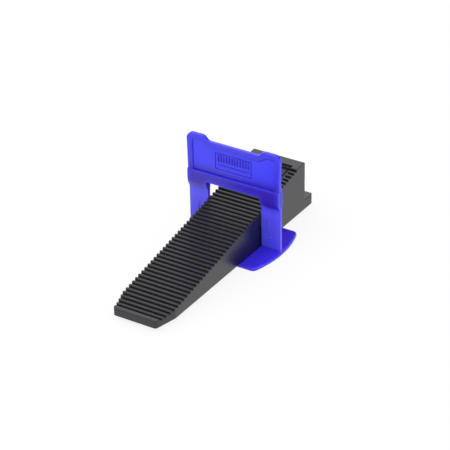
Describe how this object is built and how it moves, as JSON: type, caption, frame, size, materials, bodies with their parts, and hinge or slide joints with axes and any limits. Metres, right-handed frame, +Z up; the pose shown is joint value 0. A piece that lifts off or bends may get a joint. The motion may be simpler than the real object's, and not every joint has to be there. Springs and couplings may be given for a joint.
{
  "type": "tile levelling clip",
  "caption": "Blue tile levelling clip with a base plate, thin snap-off legs, lintel and eared head, and a black toothed wedge pushed through its window.",
  "frame": {"origin": "centre of the base plate's underside, midway between the clip's legs", "axes": "+X across the clip, +Y along the wedge towards its thick end, +Z up through the clip's head"},
  "size_m": [0.0352, 0.093, 0.0367],
  "materials": {
    "clip": "satin",
    "wedge": "semi-gloss"
  },
  "bodies": {
    "clip": {"clip": "clip"},
    "wedge": {"wedge": "wedge"}
  },
  "joints": [
    {"name": "wedge_drive", "type": "slide", "parent": "clip", "child": "wedge", "axis": [0, -1, 0], "range_m": [-0.058, 0.022]}
  ]
}
